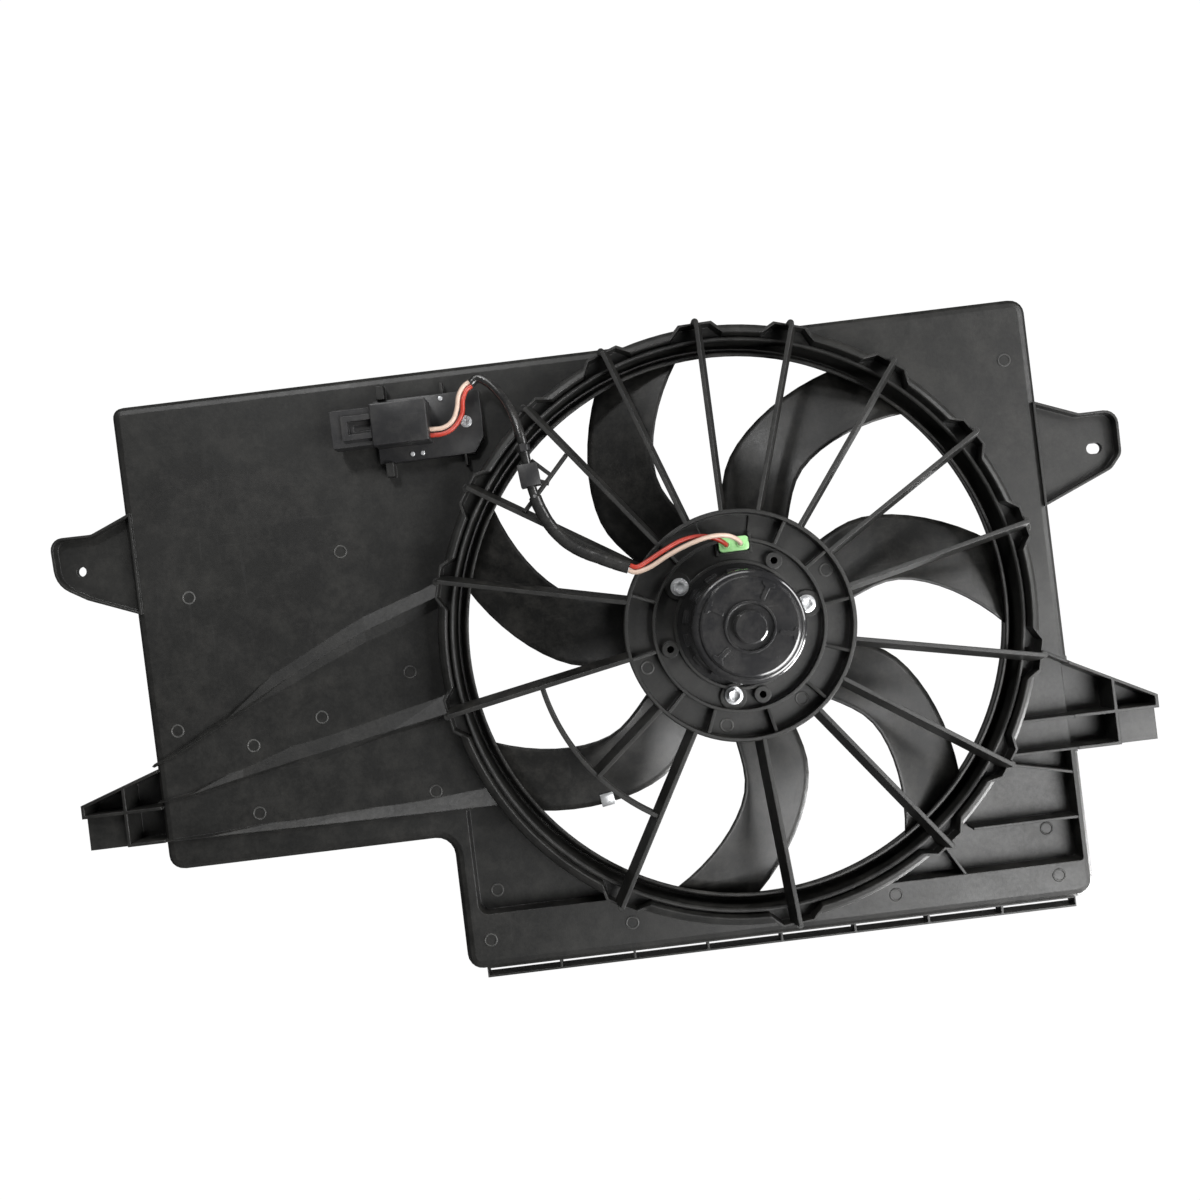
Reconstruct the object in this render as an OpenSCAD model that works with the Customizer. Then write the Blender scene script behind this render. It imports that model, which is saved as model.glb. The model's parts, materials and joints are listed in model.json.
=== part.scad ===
// Radiator cooling fan: shroud, banded seven-blade fan and its permanent magnet motor.
// The fan axis is the Y axis. The shroud's rim meets the radiator in the plane Y = 0 and
// the motor points to -Y. Each module is drawn lying on its rim, with Z as the height
// above the radiator, and stand() turns it upright.

/* [Shroud panel] */
// Fan axis to the left edge of the panel
panel_left = 386.8; // [380:0.2:400]
// How much further left the panel's top corner lies
left_lean = 2.2; // [0:0.1:4]
// Panel beyond the ring, on the right
right_margin = 24.2; // [20:0.2:34]
// Panel beyond the ring, at the bottom
bottom_margin = 14.7; // [12:0.1:22]
// Ring's rise above the panel's top edge
top_rise = 0.7; // [0.5:0.1:1.6]
// Panel beyond the ring, at the step below the left part
step_margin = 9.3; // [7:0.1:20]
// Fan axis to the bottom edge of the part left of the fan
step_bottom = 116.5; // [110:0.5:122]
// Height of the panel's front face above the radiator
panel_h = 28; // [26:0.5:32]
// Wall of the shroud moulding
wall = 2.5; // [2:0.1:3]
// Rounding of the panel's front edge
edge_r = 6; // [4:0.5:7]
// Depth of the sunken fields beside the fan
field_depth = 14; // [10:0.5:15]
// Thickness of the stiffening ribs
rib_t = 2; // [1.5:0.1:2.5]

/* [Venturi ring] */
// Bore of the ring around the fan
throat_r = 180.5; // [177:0.5:183]
// Width of the ring, from its bore to its outer wall
ring_w = 10; // [9.2:0.2:12]
// Height of the ring's crest above the radiator
ring_h = 57; // [54:0.5:60]
// How far the throat's lip lies below the crest
lip_drop = 6.5; // [5:0.1:6.9]
// Depth of the gusset pocket at each strut
pocket_depth = 13; // [8:0.5:14]

/* [Struts] */
// Thickness of a strut
strut_t = 2.6; // [2.2:0.1:3.4]
// Depth of a strut along the fan axis
strut_depth = 14; // [12:0.5:15]
// How far a strut's rear edge leans round the axis
strut_lean = 3.5; // [2:0.1:4.5]
// How far the struts stand above the ring's flange
strut_rise = 7; // [6:0.5:9]
// Radius of the brace between two struts
brace_r = 130; // [120:1:140]

/* [Motor carrier] */
// Outer radius of the motor carrier
carrier_r = 73; // [71:0.5:76]
// Outer radius of the carrier's inner rib ring
rib_ring_r = 55; // [53:0.5:57]
// Radius of the opening that the motor passes through
carrier_bore_r = 39; // [38:0.5:40]
// Fan axis to the motor bolts
bolt_circle_r = 44.5; // [44:0.1:45.5]
// Shank radius of the motor bolts
bolt_r = 3; // [2.5:0.5:3.5]

/* [Fan] */
// Number of blades
blade_count = 7; // [5:1:9]
// Outer radius of the fan hub
hub_r = 60; // [58.5:0.5:63]
// Height of the hub's closed face above the radiator
hub_z = 12; // [10:0.5:14]
// Running gap between the fan's band and the ring
band_gap = 1.5; // [1:0.1:2.5]
// How much the band narrows towards its front edge
band_taper = 5; // [3:0.5:6]
// Wall of the hub and of the band
fan_wall = 2.5; // [2:0.1:3]
// Height of the band's radiator edge
band_z = 24; // [22:0.5:27]
// Height of the band's front edge
band_top = 46; // [43:0.5:47]
// Angle that the blades sweep back
blade_sweep = 35.6; // [25:0.2:40]
// Blade width at the hub, seen along the axis
root_chord = 40; // [34:0.5:42]
// Blade width at the band, seen along the axis
tip_chord = 54.5; // [46:0.5:58]
// Blade thickness at the hub
blade_t = 3; // [2.4:0.1:3.6]

/* [Motor] */
// Outer radius of the motor can
can_r = 34; // [33:0.5:35.5]
// Wall of the motor can
can_wall = 2; // [1.5:0.1:2.4]
// Length of the can from the mounting face to its end
can_len = 61; // [58:0.5:66]
// Shaft radius
shaft_r = 4; // [3.5:0.5:5]
// Running clearance between shaft and bearings
shaft_play = 0.05; // [0.02:0.01:0.08]
// Air gap between armature and magnets
air_gap = 0.8; // [0.6:0.1:1.2]
// Number of armature slots
slot_count = 12; // [8:1:16]

/* [Fixings] */
// Radius of the round hole in the left tab
tab_hole_r = 3.25; // [3:0.05:3.6]
// Length of the slot in the right tab
tab_slot = 10.2; // [9:0.1:12]
// Height of the tabs' radiator side above the radiator
tab_z = 20.5; // [18:0.5:22]
// Height of the feet's floor above the radiator
foot_z = 5; // [4:0.5:8]

/* [Hidden] */

$fn = 96;
eps = 0.01;
overlap = 0.8;

ring_r = throat_r + ring_w;
panel_right = ring_r + right_margin;
panel_bottom = ring_r + bottom_margin;
panel_top = ring_r - top_rise;
step_left = ring_r + step_margin;
field_z = panel_h - field_depth;
strut_front = ring_h + strut_rise;
strut_rear = strut_front - strut_depth;
mount_z = strut_rear + 1;
carrier_top = mount_z + wall;
inner_r = ring_r - wall;

// Struts: angle of the outer end and of the inner end, from +X
strut_ends = [[110, 111.5], [91.5, 93], [73.5, 74.5], [53, 52.5], [32.5, 33], [13, 13.5],
    [-12.5, -13.5], [-34, -34], [-53, -53.5], [-85.5, -85], [-119.5, -119.5], [-169.5, -169.5],
    [165, 162], [146.5, 144.5], [128, 129]];
half_strut_angle = -140;
brace_from = -170.1;
brace_to = -119.5;
bolt_angles = [140.7, 10.6, -101.2];
spare_boss_angles = [-78.2, 55, -167.3];
carrier_rib_angles = [-169, -136, -113, -78, -47, -20, 7, 34, 60, 128, 158];

// Outlines are lists of corners, each [x, y, rounding], taken counter-clockwise.
panel_corners = [[-step_left, -panel_bottom, 10], [panel_right, -panel_bottom, 12],
    [panel_right, panel_top, 10], [-panel_left - left_lean, panel_top, 7],
    [-panel_left, -step_bottom, 10], [-step_left, -step_bottom, 12]];

foot_rib_top = panel_h + 2;
foot_slope = 0.54;
// Feet: corner of the slope, tip, middle and lower edge, then reach and knee from the panel
right_foot = [-51.5, -79.6, -86.3, -108.3, 54, 26];
left_foot = [-50.3, -67.6, -74.3, -96.9, 51, 22.5];

right_field = [[50, -panel_bottom + 24.5, 1], [panel_right - 6, -panel_bottom + 24.5, 2],
    [panel_right - 6, right_foot[3] + 1, 0.5], [panel_right + wall, right_foot[3] + 1, 0.5],
    [panel_right + wall, right_foot[0], 0.5], [150, right_foot[0] + 34, 1]];
left_field = [[-step_left + 11.5, -panel_bottom + 36, 7], [-50, -panel_bottom + 36, 1],
    [-50, -99.5, 1], [-step_left + 11.5, -99.5, 2]];

function unit(v) = v / norm(v);
function at(list, i) = list[(i + len(list)) % len(list)];
function flat(p) = [p[0], p[1]];
function polar(r, a) = [r * cos(a), r * sin(a)];
function mean(list) = [for (i = [0:len(list) - 1]) 1] * list / len(list);

// Points of the rounding at corner p, between its neighbours a and b
function corner_arc(a, p, b, r, n) =
    let (to_a = unit(a - p), to_b = unit(b - p), open = acos(to_a * to_b),
         c = p + unit(to_a + to_b) * r / sin(open / 2),
         start = p + to_a * r / tan(open / 2) - c,
         stop = p + to_b * r / tan(open / 2) - c,
         from = atan2(start[1], start[0]),
         turn = atan2(cross(start, stop), start * stop))
    [for (i = [0:n]) c + polar(r, from + turn * i / n)];

function rounded(corners, n = 5) =
    [for (i = [0:len(corners) - 1])
        each corner_arc(flat(at(corners, i - 1)), flat(corners[i]), flat(at(corners, i + 1)),
            corners[i][2], n)];

// The same outline moved inwards by d, or outwards where d is negative
function inset(corners, d) =
    [for (i = [0:len(corners) - 1])
        let (p = flat(corners[i]), e1 = unit(p - flat(at(corners, i - 1))),
             e2 = unit(flat(at(corners, i + 1)) - p),
             n1 = [-e1[1], e1[0]], n2 = [-e2[1], e2[0]],
             q = p + (n1 + n2) * d / (1 + n1 * n2),
             r = corners[i][2] + (cross(e1, e2) > 0 ? -d : d))
        [q[0], q[1], max(r, 0.3)]];

// Solid through outlines stacked in Z, each [z, points] with as many points
module lofted(layers) {
    n = len(layers[0][1]);
    last = len(layers) - 1;
    low = (last + 1) * n;
    middle = mean(layers[0][1]);
    points = concat([for (l = layers) for (p = l[1]) [p[0], p[1], l[0]]],
        [for (k = [0, last]) [middle[0], middle[1], layers[k][0]]]);
    sides = [for (k = [0:last - 1]) for (i = [0:n - 1])
        let (a = k * n + i, b = k * n + (i + 1) % n)
        each [[a, a + n, b + n], [a, b + n, b]]];
    caps = [for (i = [0:n - 1]) let (j = (i + 1) % n)
        each [[i, j, low], [last * n + j, last * n + i, low + 1]]];
    polyhedron(points, concat(sides, caps));
}

// Block with a rounded upper edge
module soft_block(corners, z0, z1, r, steps = 3) {
    lofted(concat([[z0, rounded(corners)]],
        [for (i = [0:steps]) let (a = 90 * i / steps)
            [z1 - r + r * sin(a), rounded(inset(corners, r * (1 - cos(a))))]]));
}

module prism(points, z0, z1) {
    translate([0, 0, z0])
        linear_extrude(z1 - z0)
            polygon(points);
}

module disc(r, z0, z1) {
    translate([0, 0, z0])
        cylinder(r = r, h = z1 - z0);
}

module tube(r_out, r_in, z0, z1) {
    difference() {
        disc(r_out, z0, z1);
        disc(r_in, z0 - 1, z1 + 1);
    }
}

// Upright rib from point a to point b, with its top at height za and zb
module rib(a, b, z0, za, zb, t = rib_t) {
    run = b - a;
    translate([a[0], a[1], 0])
        rotate(atan2(run[1], run[0]))
            translate([0, t / 2, 0])
                rotate([90, 0, 0])
                    linear_extrude(t)
                        polygon([[0, z0], [norm(run), z0], [norm(run), zb], [0, za]]);
}

module stand() {
    rotate([90, 0, 0])
        children();
}

// Tube swept along a route of points, a small polygon at each
function route_dir(route, i) =
    unit(route[min(i + 1, len(route) - 1)] - route[max(i - 1, 0)]);
function route_ring(p, dir, r, sides) =
    let (side = unit(cross(dir, [0, 0.01, 1])), up = cross(side, dir))
    [for (k = [0:sides - 1])
        let (a = 360 * k / sides) p + r * (cos(a) * side + sin(a) * up)];

module swept(route, r, sides = 8) {
    n = sides;
    last = len(route) - 1;
    points = [for (i = [0:last])
        each route_ring(route[i], route_dir(route, i), is_list(r) ? r[i] : r, n)];
    skin = [for (i = [0:last - 1]) for (k = [0:n - 1])
        let (a = i * n + k, b = i * n + (k + 1) % n)
        each [[a, b, b + n], [a, b + n, a + n]]];
    polyhedron(points, concat([[for (k = [n - 1:-1:0]) k]], skin,
        [[for (k = [0:n - 1]) last * n + k]]));
}

// Smooth route: points between the chosen ones on a Catmull-Rom curve
function between(p, i, t) =
    let (a = p[max(i - 1, 0)], b = p[i], c = p[i + 1], d = p[min(i + 2, len(p) - 1)])
    0.5 * (2 * b + (c - a) * t + (2 * a - 5 * b + 4 * c - d) * t * t
        + (3 * b - a - 3 * c + d) * t * t * t);
function smooth_route(p, n = 2) =
    concat([for (i = [0:len(p) - 2]) for (k = [0:n - 1]) between(p, i, k / n)],
        [p[len(p) - 1]]);

module shroud_panel() {
    color("#2b2c2d")
    stand()
    difference() {
        union() {
            difference() {
                union() {
                    panel_shell();
                    field_tray(right_field);
                    field_tray(left_field);
                }
                prism(rounded(right_field), field_z, panel_h + 1);
                prism(rounded(left_field), field_z, panel_h + 1);
            }
            field_ribs();
            panel_ribs();
            lower_rail();
            foot(right_foot, panel_right, 1);
            foot(left_foot, panel_left, -1);
            tab(right_tab_corners);
            tab(left_tab_corners);
            tab_pads();
            module_clips();
        }
        disc(ring_r, field_z - wall - 1, panel_h + 20);
        disc(throat_r + 5, -1, field_z);
        right_tab_slot();
        left_tab_hole();
    }
}

module panel_shell() {
    difference() {
        soft_block(panel_corners, 0, panel_h, edge_r);
        soft_block(inset(panel_corners, wall), -1, panel_h - wall, edge_r - wall);
    }
}

// Solid that the sunken field is cut into, inside the panel's hollow
module field_tray(corners) {
    difference() {
        prism(rounded(inset(corners, -wall)), field_z - wall, panel_h - 1);
        translate([panel_right - 1, -panel_bottom, -1])
            cube([60, panel_bottom + panel_top, panel_h + 2]);
    }
}

module field_ribs() {
    edge = panel_right - 5;
    low = -panel_bottom + 23.5;
    top = panel_h - 0.4;
    end = foot_rib_top - 0.3;
    z0 = field_z - 1;
    t = rib_t - 0.3;
    rib([150, right_foot[0] + foot_slope * (panel_right - 150)], [panel_right + 0.4, right_foot[0]],
        z0, top, end, t);
    rib([150, right_foot[2]], [panel_right + 0.4, right_foot[2]], z0, top, end, t);
    rib([140, right_foot[3] + 1], [panel_right + 0.4, right_foot[3] + 1], z0, top, end, t);
    rib([140, low + 29.5], [edge, low + 29.5], z0, top, top, t);
    rib([160, -111.5], [edge, -123], z0, top, top, t);
    rib([112, -147], [131.5, low], z0, top, top, t);
}

// Pressed ridges from the left foot to the ring, each crisp at the foot and soft further in.
// Station: x, y of the crest, height, then width of the upper and of the lower flank
function ridge_lines() = [
    [[-panel_left - 1.6, -46.6, 2.2, 1.2, 1.2], [-368, -38, 3.6, 1.6, 1.4], [-335, -21, 3.2, 4, 3],
     [-292, 1, 2.6, 12, 8], [-240, 24.5, 2.6, 14, 10], [-182, 44, 3.6, 13, 10]],
    [[-panel_left - 0.6, left_foot[2] + 3.6, 2.2, 1.2, 1.1], [-366, -68, 3.4, 2, 1.4],
     [-330, -60.5, 2.8, 7, 3], [-280, -51, 2.2, 14, 6], [-230, -42, 2.8, 15, 4],
     [-180, -33, 5, 17, 1.6]],
    [[-panel_left - 0.4, left_foot[3] + 0.6, 2.4, 1.2, 1], [-360, -96.4, 3.4, 2, 1.2],
     [-300, -97.2, 3, 6, 1.3], [-220, -98, 4, 10, 1.3], [-155, -98.2, 6, 15, 1.2]]];

module ridge(line) {
    n = len(line);
    points = [for (k = [0:n - 1]) let (q = line[k], base = panel_h - (k == 0 ? 2.2 : 1.2))
        each [[q[0], q[1] - q[4], base], [q[0], q[1], panel_h + q[2]], [q[0], q[1] + q[3], base]]];
    skin = [for (k = [0:n - 2]) for (i = [0:2]) let (a = 3 * k + i, b = 3 * k + (i + 1) % 3)
        each [[a, b, b + 3], [a, b + 3, a + 3]]];
    polyhedron(points, concat([[0, 2, 1]], skin, [[3 * n - 3, 3 * n - 2, 3 * n - 1]]));
}

module panel_ribs() {
    for (line = ridge_lines())
        ridge(line);
}

// Slotted strip along the bottom edge
module lower_rail() {
    x0 = -step_left + 12;
    slots = 8;
    pitch = (panel_right - 13 - x0) / slots;
    difference() {
        translate([x0, -panel_bottom - 6.2, 12])
            cube([slots * pitch, 6.2 + wall / 2, 12]);
        for (i = [0:slots - 1])
            translate([x0 + i * pitch + 0.8, -panel_bottom - 5, 8])
                cube([pitch - 1.6, 4.6, 20]);
    }
}

// Foot that drops into a bracket below the radiator, beside edge x, on side +1 or -1
module foot(f, x, side) {
    reach = f[4];
    knee = f[5];
    start = -wall / 2;
    half = rib_t / 2;
    slope = (f[1] - f[0]) / reach;
    floor_top = foot_z + wall;
    function roof(u) = f[0] + slope * u;
    mirror([side < 0 ? 1 : 0, 0, 0])
    translate([x, 0, 0]) {
        difference() {
            prism([[start, f[3]], [knee + half, f[3]], [knee + half, f[2] - half],
                [reach, f[2] - half], [reach, roof(reach) + half], [start, roof(start) + half]],
                foot_z, foot_rib_top);
            prism([[start - 1, f[3] + rib_t], [knee - half, f[3] + rib_t],
                [knee - half, f[2] - half], [start - 1, f[2] - half]], floor_top, foot_rib_top + 1);
            prism([[start - 1, f[2] + half], [knee - half, f[2] + half],
                [knee - half, roof(knee - half) - half], [start - 1, roof(start - 1) - half]],
                floor_top, foot_rib_top + 1);
            prism([[knee + half, f[2] + half], [reach - rib_t, f[2] + half],
                [reach - rib_t, roof(reach - rib_t) - half],
                [knee + half, roof(knee + half) - half]], floor_top, foot_rib_top + 1);
        }
        tongue(knee, reach - 0.7, f[3] - 0.2, f[2]);
    }
}

// Hollow tongue that slides into the bracket
module tongue(x0, x1, y0, y1) {
    difference() {
        translate([x0, y0, foot_z + 3])
            cube([x1 - x0, y1 - y0, 16]);
        translate([x0 + wall, y0 + wall, foot_z + 2])
            cube([x1 - x0 - 2 * wall, y1 - y0 - 2 * wall, 16 + 1 - wall]);
    }
}

tab_flange = panel_h + 2;
right_tab_corners = [[panel_right - 4, 51.8, 0.5], [panel_right + 42, 71, 10],
    [panel_right + 49.6, 80, 8], [panel_right + 50, 109.5, 9], [panel_right + 25, 109.5, 5],
    [panel_right - 4, 121, 0.5]];
left_tab_corners = [[-panel_left + 4, 119.8, 0.5], [-panel_left - 23, 108.6, 6],
    [-panel_left - 50.6, 108.8, 8], [-panel_left - 49.6, 78, 18], [-panel_left - 30, 66.2, 8],
    [-panel_left + 4, 52.5, 0.5]];

module tab(corners) {
    difference() {
        prism(rounded(corners), tab_z, tab_flange);
        prism(rounded(inset(corners, rib_t - 0.4)), tab_z + wall, tab_flange + 1);
        translate([-panel_left + wall / 2, -panel_bottom, tab_z - 1])
            cube([panel_left + panel_right - wall, 2 * panel_bottom, panel_h - wall / 2 - tab_z + 1]);
    }
}

left_hole_x = -panel_left - 34.9;
right_slot_x = panel_right + 35.1;

// Raised pads round the tabs' holes, on the radiator's side
module tab_pads() {
    translate([left_hole_x, 85.8, 0])
        disc(tab_hole_r + 6, tab_z - tab_pad, tab_z + 1);
    translate([right_slot_x, 86.1, 0])
        disc(tab_slot / 2 + 6, tab_z - tab_pad, tab_z + 1);
}
tab_pad = 1.5;

module left_tab_hole() {
    translate([left_hole_x, 85.8, 0])
        disc(tab_hole_r, tab_z - tab_pad - 1, tab_z + wall + 1);
}

module right_tab_slot() {
    slot_r = 3.55;
    translate([right_slot_x, 86.1, 0]) {
        for (s = [-1, 1])
            translate([s * (tab_slot / 2 - slot_r), 0, 0])
                disc(slot_r, tab_z - tab_pad - 1, tab_z + wall + 1);
        translate([-tab_slot / 2 + slot_r, -slot_r, tab_z - tab_pad - 1])
            cube([tab_slot - 2 * slot_r, 2 * slot_r, wall + tab_pad + 2]);
    }
}

// Module outline on the panel and its clips
module_x = -ring_r - 25.5;
module_y = panel_top - 59;
module_w = 69;
module_d = 41;
module_t = 6;

module module_clips() {
    z = panel_h - 1;
    clip = [5, 9, 10];
    translate([module_x + 3, module_y + module_d + 0.1, z])
        cube(clip);
    translate([module_x + 4, module_y - clip[1] - 0.1, z])
        cube(clip);
    translate([module_x + 44, module_y + module_d + 0.1, z])
        cube([2, 7, 7]);
    translate([module_x + 55, module_y - 7.1, z])
        cube([1.6, 7, 7]);
}

module shroud_ring() {
    floor_z = ring_h - pocket_depth;
    back = ring_r + 0.6;
    shell = 1.3;
    color("#232425")
    stand()
    difference() {
        union() {
            ring_profile();
            for (s = strut_ends) {
                gusset(s[0], [[lip_out + 1.4, 18.6], [back + shell, 10.6], [back + shell, -10.6],
                    [lip_out + 1.4, -18.6]], floor_z - wall, ring_h - 1.2);
                translate(polar(ring_r + 2, s[0]))
                    disc(2.3, panel_h + 6, ring_h + 1.4);
            }
        }
        for (s = strut_ends)
            gusset(s[0], [[lip_out - 0.5, 18], [back, 9.5], [back, -9.5], [lip_out - 0.5, -18]],
                floor_z, ring_h + 1);
    }
}
throat_z = band_z - 4;
lip_z = ring_h - lip_drop;
lip_out = throat_r + wall;
crest_r = throat_r + 4;
groove_z = ring_h - 11.6;

// Wall round the fan: throat and its lip, groove, crest with its sloping shoulder, outer wall
module ring_profile() {
    rotate_extrude()
        polygon([[throat_r, throat_z], [throat_r, lip_z - 1], [throat_r + 0.9, lip_z],
            [lip_out - 0.4, lip_z], [lip_out, lip_z - 0.4], [lip_out, groove_z],
            [crest_r, groove_z], [crest_r, ring_h - 0.7], [crest_r + 0.7, ring_h],
            [ring_r - 3, ring_h - 0.9], [ring_r - 1, ring_h - 2.4], [ring_r, ring_h - 5],
            [ring_r, field_z - wall], [inner_r, field_z - wall], [inner_r, groove_z - wall],
            [lip_out, groove_z - wall], [lip_out, throat_z]]);
}

module gusset(angle, outline, z0, z1) {
    rotate(angle)
        prism([for (i = [len(outline) - 1:-1:0]) outline[i]], z0, z1);
}

module stator_struts() {
    color("#242526")
    stand() {
        for (s = strut_ends)
            strut(polar(carrier_r - overlap, s[1]), polar(ring_r + 1, s[0]));
        strut(polar(carrier_r - overlap, half_strut_angle), polar(brace_r, half_strut_angle));
    }
}

// Leaning vane from point a to point b
module strut(a, b) {
    run = b - a;
    translate([a[0], a[1], 0])
        rotate(atan2(run[1], run[0]))
            rotate([90, 0, 90])
                linear_extrude(norm(run))
                    polygon([[-strut_lean - strut_t / 2, strut_rear],
                        [-strut_lean + strut_t / 2, strut_rear],
                        [strut_t / 2, strut_front], [-strut_t / 2, strut_front]]);
}

module stator_brace() {
    color("#242526")
    stand()
    rotate(brace_from)
        rotate_extrude(angle = brace_to - brace_from)
            translate([brace_r - strut_t / 2, strut_rear + 2])
                square([strut_t, strut_depth - 3]);
}

module motor_carrier() {
    color("#2a2b2c")
    stand()
    difference() {
        union() {
            carrier_profile();
            for (a = carrier_rib_angles)
                rib(polar(rib_ring_r - 1, a), polar(carrier_r - 1, a), mount_z + 1,
                    strut_front - 3.5, strut_front - 1.5);
            for (a = bolt_angles)
                rotate(a)
                    translate([bolt_circle_r + 1, 0, 0])
                        disc(boss_r, mount_z + 1, carrier_top + boss_h);
            for (a = spare_boss_angles)
                rotate(a)
                    translate([bolt_circle_r + 1.5, 0, 0])
                        disc(5.3, mount_z + 1, carrier_top + 5);
            plug_frame();
        }
        for (a = bolt_angles)
            rotate(a)
                translate([bolt_circle_r, 0, 0]) {
                    disc(bolt_r + 0.3, mount_z - 1, carrier_top + 9);
                    disc(1.9 * bolt_r + 0.6, carrier_top + boss_h, carrier_top + 9);
                }
        for (a = spare_boss_angles)
            rotate(a)
                translate([bolt_circle_r + 1.5, 0, 0])
                    disc(2.2, mount_z - 1, carrier_top + 9);
        plug_window();
        top_window();
    }
}
boss_r = 8.4;
boss_h = 2.5;

// Floor with its rim, rib ring and the collar round the motor's opening
module carrier_profile() {
    top = strut_front - 3;
    rotate_extrude()
        polygon([[carrier_bore_r, mount_z], [carrier_r, mount_z], [carrier_r, strut_front - 0.6],
            [carrier_r - 0.6, strut_front], [carrier_r - wall, strut_front],
            [carrier_r - wall, carrier_top], [rib_ring_r, carrier_top], [rib_ring_r, top],
            [rib_ring_r - rib_t, top], [rib_ring_r - rib_t, carrier_top],
            [carrier_bore_r + rib_t, carrier_top], [carrier_bore_r + rib_t, carrier_top + 3.5],
            [carrier_bore_r, carrier_top + 3.5]]);
}

plug_x = 2.4;
plug_y = carrier_bore_r + 12;
plug_w = 19;
plug_d = 9;

module plug_frame() {
    translate([plug_x - plug_w / 2 - 2, plug_y - plug_d / 2 - 1.8, mount_z + 1])
        cube([plug_w + 4, plug_d + 3.6, wall + 2]);
}

module plug_window() {
    translate([plug_x - plug_w / 2 - 0.2, plug_y - plug_d / 2 - 0.2, mount_z - 1])
        cube([plug_w + 0.4, plug_d + 0.4, 20]);
}

// Recess above the plug, between the rib ring and the rim
module top_window() {
    translate([0, 0, mount_z + 1])
        intersection() {
            tube(carrier_r - wall - 1, rib_ring_r + 1.5, 0, wall + 2);
            rotate(78)
                cube([90, 90, 9]);
            rotate(16)
                cube([90, 90, 9]);
        }
}

// Bar between two struts that carries the loom clip
module harness_bracket() {
    a = polar(bracket_r, strut_ends[13][0] - 1.1);
    b = polar(bracket_r, strut_ends[14][0] + 0.6);
    z1 = strut_front - 1;
    color("#242526")
    stand() {
        rib(a, b, z1 - 8, z1, z1, 2.2);
        rib([-118.5, 106.5], [-108.2, 102.6], z1 - 7, z1, z1, 2.2);
        rib([-117.3, 118.2], [-106.8, 108.2], z1 - 7, z1, z1, 2.2);
    }
}
bracket_r = 152.5;

module fan_hub() {
    face = hub_z + fan_wall + 0.5;
    color("#2e2f30")
    stand()
    difference() {
        union() {
            rotate_extrude()
                polygon(concat([[0, hub_z]],
                    [for (i = [0:5]) let (a = 90 * i / 5)
                        [hub_r - 6 + 6 * sin(a), hub_z + 6 - 6 * cos(a)]],
                    [[hub_r, hub_top], [hub_r - fan_wall, hub_top], [hub_r - fan_wall, hub_z + 7],
                     [hub_r - fan_wall - 4, face], [0, face]]));
            disc(insert_r + 4, hub_z, insert_top - 3.6);
            for (i = [0:blade_count - 1])
                rib(polar(insert_r + 2, i * 360 / blade_count),
                    polar(hub_r - 1, i * 360 / blade_count), face - 1, face + 12, face + 16);
        }
        disc(insert_r, hub_z - 1, insert_top + 1);
    }
}
hub_top = mount_z - 5;
insert_r = 13;
insert_top = hub_z + 18;

band_out = throat_r - band_gap;
band_in = band_out - fan_wall;

// Ring that joins the blade tips, wide at the radiator's side and narrower in front
module fan_band() {
    front_out = band_out - band_taper;
    front_in = band_in - band_taper;
    color("#2e2f30")
    stand()
    rotate_extrude()
        polygon([[band_in, band_z], [band_out - 0.6, band_z], [band_out, band_z + 0.6],
            [band_out, band_z + 3], [front_out, band_top - 0.7], [front_out - 0.7, band_top],
            [front_in + 0.7, band_top], [front_in, band_top - 0.7], [band_in, band_z + 3]]);
}

// Inner radius of the band at height z
function band_inner(z) =
    band_in - band_taper * min(1, max(0, (z - band_z - 3) / (band_top - 0.7 - band_z - 3)));

blade_from = -78.4;
sweep_start = 0.38;
sweep_soft = 0.12;
root_lag = 4;

// Angle of the blade's middle line at s, from 0 at the hub to 1 at the band
function blade_mid(s) =
    blade_from - root_lag * pow(1 - s, 4)
    - blade_sweep * ((s - sweep_start) + sqrt(pow(s - sweep_start, 2) + sweep_soft * sweep_soft)) / 2;
function mix(a, b, t) = a + (b - a) * t;
// Heights of the leading edge and of the trailing edge
function lead_z(s) = mix(hub_z + 8, band_z + 3.5, s);
function trail_z(s) = mix(hub_top - 3, band_top - 4, sqrt(s));
function blade_r(s, z) = mix(hub_r - overlap, band_inner(z) + overlap, s);
// Point of the camber line: c runs from the trailing edge to the leading edge
function camber(s, c) =
    let (chord = mix(root_chord, tip_chord, s), rise = trail_z(s) - lead_z(s))
    [(c - 0.5) * chord, lead_z(s) + rise * pow(1 - c, 1.35)];
function half_t(s, c) = mix(blade_t, blade_t * 0.7, s) * (0.14 + 0.36 * sqrt(max(sin(180 * c), 0)));
function blade_point(s, c, side) =
    let (p = camber(s, c), q = camber(s, min(c + 0.02, 1)), o = camber(s, max(c - 0.02, 0)),
         t = unit(q - o), f = p + [-t[1], t[0]] * half_t(s, c) * side,
         r = blade_r(s, f[1]), a = blade_mid(s) + f[0] / r * 180 / PI)
    [r * cos(a), r * sin(a), f[1]];

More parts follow.
